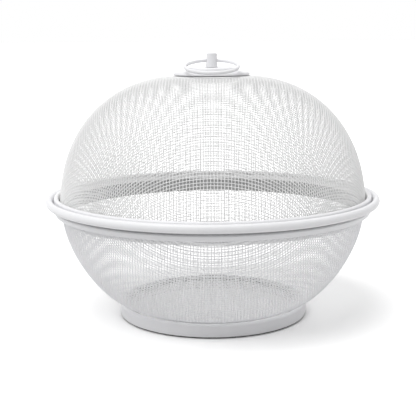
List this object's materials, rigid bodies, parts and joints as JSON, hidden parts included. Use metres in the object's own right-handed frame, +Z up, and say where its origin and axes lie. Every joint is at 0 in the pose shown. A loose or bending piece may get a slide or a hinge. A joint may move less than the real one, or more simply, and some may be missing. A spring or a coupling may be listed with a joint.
{
  "type": "mesh fruit basket with lid",
  "caption": "Round woven-wire fruit basket on a foot ring, with a lift-off domed mesh lid that seats inside the rolled rim and has a ring pull on a post.",
  "frame": {"origin": "on the basket's vertical axis, at the flat sole of the foot ring, where it stands", "axes": "+Z up along the axis of the basket and the lid; the ring pull leans towards -Y, the front; +X is to the right seen from the front, along the hole that the ring turns in"},
  "size_m": [0.28, 0.28, 0.2213],
  "materials": {
    "basket_mesh": "white powder coat on woven steel wire, satin",
    "rim_collar": "white powder coat on rolled steel strip, satin gloss",
    "basket_clamp_band": "white powder coat, satin",
    "foot_ring": "white powder coat on rolled steel strip, satin gloss",
    "lid_mesh": "white powder coat on woven steel wire, satin",
    "lid_rim": "white powder coat on rolled steel strip, satin gloss",
    "lid_clamp_band": "white powder coat, satin",
    "cap_plate": "white powder coat on a pressed disc, satin gloss",
    "backing_plate": "white powder coat, satin",
    "knob_post": "white powder coat, satin gloss",
    "knob_screw": "zinc-plated steel",
    "ring_handle": "white powder coat on steel wire, satin gloss"
  },
  "bodies": {
    "basket": {"basket_mesh": "basket_mesh", "rim_collar": "rim_collar", "basket_clamp_band": "basket_clamp_band", "foot_ring": "foot_ring"},
    "lid": {"lid_mesh": "lid_mesh", "lid_rim": "lid_rim", "lid_clamp_band": "lid_clamp_band", "cap_plate": "cap_plate", "backing_plate": "backing_plate", "knob_post": "knob_post", "knob_screw": "knob_screw"},
    "ring": {"ring_handle": "ring_handle"}
  },
  "joints": [
    {"name": "lid_lift", "type": "slide", "parent": "basket", "child": "lid", "axis": [0, 0, 1], "range_m": [0, 0.25]},
    {"name": "ring_swing", "type": "hinge", "parent": "lid", "child": "ring", "pos_m": [0, 0, 0.2146], "axis": [-1, 0, 0], "range_deg": [-2, 206]}
  ]
}
